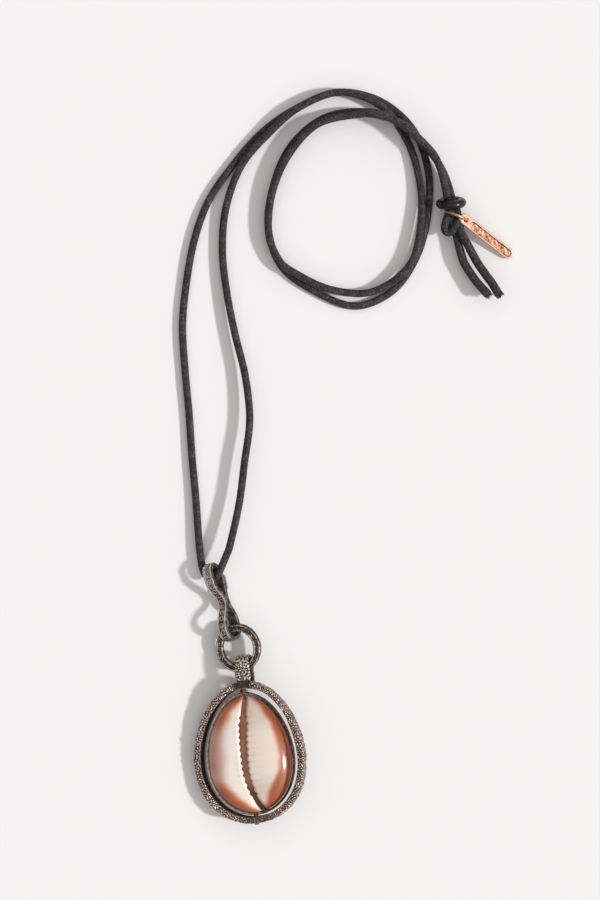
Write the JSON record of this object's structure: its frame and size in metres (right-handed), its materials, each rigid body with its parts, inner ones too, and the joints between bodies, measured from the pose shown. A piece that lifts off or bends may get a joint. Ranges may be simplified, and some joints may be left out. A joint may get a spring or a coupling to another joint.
{
  "type": "cowrie pendant necklace on a doubled cord",
  "caption": "Cowrie shell in a silver bezel that swivels in an egg-shaped oxidised silver frame, on a link ring, a pinched hook and a doubled black waxed cord with a copper tag.",
  "frame": {"origin": "on the surface that the necklace lies on, under the middle of the box round the metalwork and the shell (without the cord and what hangs on the cord)", "axes": "+Z up from the surface, +Y from the pendant towards the hook, +X to the right as seen from above with +Y up"},
  "size_m": [0.0966, 0.1879, 0.0116],
  "materials": {
    "oxidised_silver": "cast sterling silver, blackened in the hollows and polished on the raised scrolls",
    "plain_silver": "plain darkened sterling silver with a bright rim",
    "bronzed_silver": "engraved sterling silver, bronze-dark in the channel",
    "cowrie_shell": null,
    "brown_filler": "flat brown setting resin",
    "waxed_cord": "black waxed cotton",
    "black_rubber": "smooth satin black rubber",
    "copper": null
  },
  "bodies": {
    "necklace": {"frame": "oxidised_silver", "link_ring": "bronzed_silver", "hook": "oxidised_silver", "cord_left": "waxed_cord", "cord_right": "waxed_cord", "slide_ring": "black_rubber", "knot": "waxed_cord", "tail_left": "waxed_cord", "tail_right": "waxed_cord", "tag_ring": "copper", "tag": "copper"},
    "setting": {"bezel": "plain_silver", "shell": "cowrie_shell", "packing": "brown_filler"}
  },
  "joints": [
    {"name": "shell_swivel", "type": "hinge", "parent": "necklace", "child": "setting", "pos_m": [0.00011, -0.01551, 0.00577], "axis": [0, 1, 0], "continuous": true}
  ]
}
